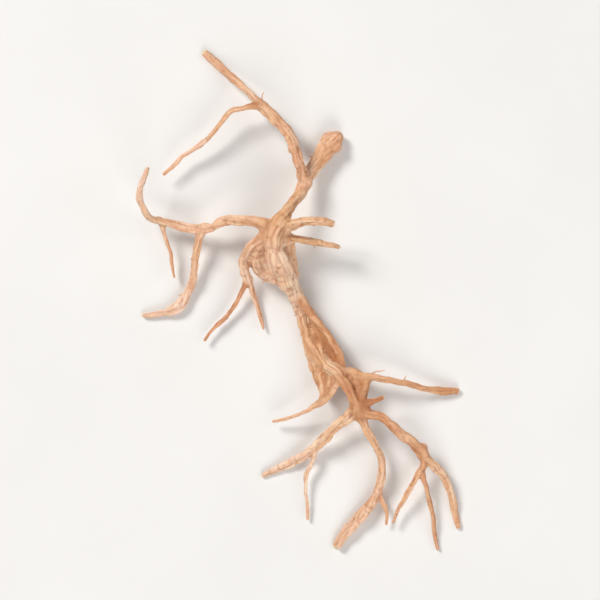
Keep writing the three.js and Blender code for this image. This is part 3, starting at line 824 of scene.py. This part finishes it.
def math_node(op, a, b=None, c=None, clamp=False):
    n = node("ShaderNodeMath", operation=op, use_clamp=clamp)
    for i, v in enumerate((a, b, c)):
        if v is None:
            continue
        if isinstance(v, (int, float)):
            n.inputs[i].default_value = v
        else:
            L.new(v, n.inputs[i])
    return n.outputs[0]


def noise_tex(vector, scale, detail=4.0, rough=0.55, distort=0.0):
    n = node("ShaderNodeTexNoise")
    n.inputs["Scale"].default_value = scale
    n.inputs["Detail"].default_value = detail
    n.inputs["Roughness"].default_value = rough
    n.inputs["Distortion"].default_value = distort
    L.new(vector, n.inputs["Vector"])
    return n.outputs["Fac"]


def mix(fac, a, b, blend="MIX"):
    n = node("ShaderNodeMix", data_type="RGBA", blend_type=blend)
    for key, v in (("Factor", fac), ("A", a), ("B", b)):
        sock = next(s for s in n.inputs if s.name == key and s.type == ("VALUE" if key == "Factor" else "RGBA"))
        if hasattr(v, "is_linked"):
            L.new(v, sock)
        else:
            sock.default_value = v
    return next(s for s in n.outputs if s.type == "RGBA")


def ramp(fac, stops):
    n = node("ShaderNodeValToRGB")
    r = n.color_ramp
    while len(r.elements) > 1:
        r.elements.remove(r.elements[-1])
    r.elements[0].position, r.elements[0].color = stops[0]
    for pos, col in stops[1:]:
        r.elements.new(pos).color = col
    L.new(fac, n.inputs["Fac"])
    return n.outputs["Color"]


def remap(v, a, b, c=0.0, d=1.0):
    n = node("ShaderNodeMapRange", clamp=True)
    L.new(v, n.inputs["Value"])
    for key, x in (("From Min", a), ("From Max", b), ("To Min", c), ("To Max", d)):
        n.inputs[key].default_value = x
    return n.outputs["Result"]


coord = node("ShaderNodeTexCoord").outputs["Object"]
to_mm = node("ShaderNodeVectorMath", operation="SCALE")
L.new(coord, to_mm.inputs[0])
to_mm.inputs["Scale"].default_value = 1000.0
mm = to_mm.outputs[0]
fib = attr("fibre", True)

patch = noise_tex(mm, 0.32, 3.0, 0.5)  # broad patches, some 3 mm across
blotch = noise_tex(mm, 1.5, 4.0, 0.6, 0.4)
grain = noise_tex(mm, 9.0, 5.0, 0.65)
streak = noise_tex(fib, 5.5, 5.0, 0.6, 0.2)  # long fine streaks
thread = noise_tex(fib, 16.0, 3.0, 0.6)

# the tone attribute carries painted light and shade as well as the skin's own tone
tone = math_node("MULTIPLY_ADD", attr("tone"), 0.50, math_node("MULTIPLY", patch, 0.42))
tone = math_node("ADD", tone, math_node("MULTIPLY_ADD", streak, 0.34, -0.14))
tone = math_node("ADD", tone, math_node("MULTIPLY_ADD", blotch, 0.22, -0.11))
skin = ramp(
    tone,
    [
        (0.02, srgb(160, 102, 64)),
        (0.16, srgb(190, 131, 90)),
        (0.34, srgb(217, 164, 125)),
        (0.50, srgb(234, 190, 154)),
        (0.66, srgb(244, 209, 177)),
        (0.84, srgb(251, 228, 203)),
    ],
)
# golden here, pinker there
hue = noise_tex(mm, 0.21, 2.0, 0.5)
skin = mix(remap(hue, 0.50, 0.72, 0.0, 0.42), skin, srgb(226, 176, 116), "MIX")
skin = mix(remap(hue, 0.50, 0.30, 0.0, 0.36), skin, srgb(232, 178, 148), "MIX")
skin = mix(remap(thread, 0.34, 0.66, 0.0, 0.13), skin, srgb(196, 138, 92), "MIX")
# a pale bloom, partly dust and partly a painted highlight, thicker here and thinner there
skin = mix(math_node("MULTIPLY", attr("bloom_and_highlight"), remap(blotch, 0.30, 0.62, 0.35, 0.80)), skin, srgb(255, 230, 214))
# pale ridges: partly wear, partly a painted highlight along the ridges
worn_and_highlight = math_node("MULTIPLY", math_node("ADD", attr("ridge"), math_node("MULTIPLY", attr("nub"), 0.35), clamp=True), remap(grain, 0.36, 0.66, 0.35, 1.0))
col = mix(math_node("MULTIPLY", worn_and_highlight, 0.70), skin, srgb(252, 229, 203))
# painted shade: orange-brown down in the furrows and hollows, at the forks and in the cross rings
crease = math_node("POWER", attr("furrow"), 1.6)
painted_furrow_shade = math_node("ADD", math_node("MULTIPLY", crease, 0.62), math_node("MULTIPLY", attr("hollow"), 0.66), clamp=True)
painted_furrow_shade = math_node("MULTIPLY", painted_furrow_shade, remap(streak, 0.30, 0.62, 0.45, 1.0))
col = mix(math_node("MULTIPLY", painted_furrow_shade, 0.66), col, srgb(166, 98, 54))
col = mix(math_node("MULTIPLY", attr("fork"), 0.30), col, srgb(182, 106, 58))
col = mix(math_node("MULTIPLY", attr("ring"), 0.36), col, srgb(170, 106, 64))
# darker thin tips
col = mix(math_node("MULTIPLY", attr("tip"), remap(blotch, 0.3, 0.7, 0.04, 0.26)), col, srgb(198, 132, 84))
# specks of dust and bark
speck = node("ShaderNodeTexVoronoi", feature="F1")
speck.inputs["Scale"].default_value = 3.4
L.new(mm, speck.inputs["Vector"])
dot = remap(speck.outputs["Distance"], 0.05, 0.16, 1.0, 0.0)
dot = math_node("MULTIPLY", dot, remap(noise_tex(mm, 0.9, 2.0), 0.48, 0.60, 0.0, 1.0))
col = mix(math_node("MULTIPLY", dot, 0.45), col, srgb(120, 70, 36))
col = mix(math_node("MULTIPLY", attr("slit"), 0.55), col, srgb(140, 82, 44))
# broken ends: pale, dry flesh, mottled by grain
end_col = mix(remap(grain, 0.35, 0.65), srgb(226, 186, 132), srgb(248, 226, 190))
col = mix(remap(attr("cut"), 0.15, 0.55), col, end_col)

bsdf = node("ShaderNodeBsdfPrincipled")
L.new(col, bsdf.inputs["Base Color"])
rough = math_node("MULTIPLY_ADD", grain, 0.22, 0.39)
rough = math_node("ADD", rough, math_node("MULTIPLY", painted_furrow_shade, 0.16))
rough = math_node("ADD", rough, math_node("MULTIPLY", attr("cut"), 0.25), clamp=True)
L.new(rough, bsdf.inputs["Roughness"])
bsdf.inputs["IOR"].default_value = 1.46
bsdf.inputs["Specular IOR Level"].default_value = 0.42
bsdf.inputs["Subsurface Weight"].default_value = 0.24
bsdf.inputs["Subsurface Radius"].default_value = (1.0, 0.48, 0.20)
bsdf.inputs["Subsurface Scale"].default_value = 0.00045

height = math_node("ADD", math_node("MULTIPLY", thread, 0.55), math_node("MULTIPLY", streak, 0.75))
height = math_node("ADD", height, math_node("MULTIPLY", grain, 0.35))
height = math_node("SUBTRACT", height, math_node("MULTIPLY", dot, 0.5))
bump = node("ShaderNodeBump")
bump.inputs["Strength"].default_value = 0.60
bump.inputs["Distance"].default_value = 0.000055
L.new(height, bump.inputs["Height"])
L.new(bump.outputs["Normal"], bsdf.inputs["Normal"])
out = node("ShaderNodeOutputMaterial")
L.new(bsdf.outputs["BSDF"], out.inputs["Surface"])
root.data.materials.append(mat)

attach(root, "root")
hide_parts("ginseng_root")

# ---------------------------------------------------------------- floor, light, camera
fm, N, L = material("pale_floor")
fb = node("ShaderNodeBsdfPrincipled")
fc = node("ShaderNodeTexCoord").outputs["Object"]
fcol = ramp(noise_tex(fc, 60.0, 3.0), [(0.3, (0.80, 0.795, 0.78, 1)), (0.7, (0.83, 0.825, 0.81, 1))])
L.new(fcol, fb.inputs["Base Color"])
fb.inputs["Roughness"].default_value = 0.85
fb.inputs["Specular IOR Level"].default_value = 0.2
fo = node("ShaderNodeOutputMaterial")
L.new(fb.outputs["BSDF"], fo.inputs["Surface"])
fmesh = bpy.data.meshes.new("floor_mesh")
fmesh.from_pydata([(-0.6, -0.6, 0), (0.6, -0.6, 0), (0.6, 0.6, 0), (-0.6, 0.6, 0)], [], [(0, 1, 2, 3)])
floor = bpy.data.objects.new("floor", fmesh)
fmesh.materials.append(fm)
bpy.context.scene.collection.objects.link(floor)


def area(name, at, size, watts, colour=(1, 1, 1)):
    d = bpy.data.lights.new(name, "AREA")
    d.shape = "DISK"
    d.size, d.energy, d.color = size, watts, colour
    o = bpy.data.objects.new(name, d)
    o.location = at
    o.rotation_mode = "QUATERNION"
    o.rotation_quaternion = (-Vector(at)).to_track_quat("-Z", "Y")
    bpy.context.scene.collection.objects.link(o)
    return o


area("key_light", (-0.24, 0.24, 0.32), 0.16, 1.64, (1.0, 0.975, 0.945))
area("fill_light", (0.30, 0.02, 0.26), 0.30, 0.36, (0.97, 0.98, 1.0))
area("low_light", (0.06, -0.28, 0.21), 0.24, 0.60, (1.0, 0.965, 0.93))

world = bpy.data.worlds.new("studio")
world.use_nodes = True
bg = next(n for n in world.node_tree.nodes if n.type == "BACKGROUND")
bg.inputs["Color"].default_value = (0.98, 0.98, 1.0, 1)
bg.inputs["Strength"].default_value = 0.25
bpy.context.scene.world = world
bpy.context.scene.view_settings.view_transform = "Standard"
bpy.context.scene.view_settings.look = "None"

cam_data = bpy.data.cameras.new("camera")
cam_data.lens = 180
cam_data.sensor_width = 36
cam_data.clip_start, cam_data.clip_end = 0.005, 5
cam = bpy.data.objects.new("camera", cam_data)
cam.location = (0.0, 0.0, 0.2679)
cam.rotation_euler = (0, 0, 0)
bpy.context.scene.collection.objects.link(cam)
bpy.context.scene.camera = cam
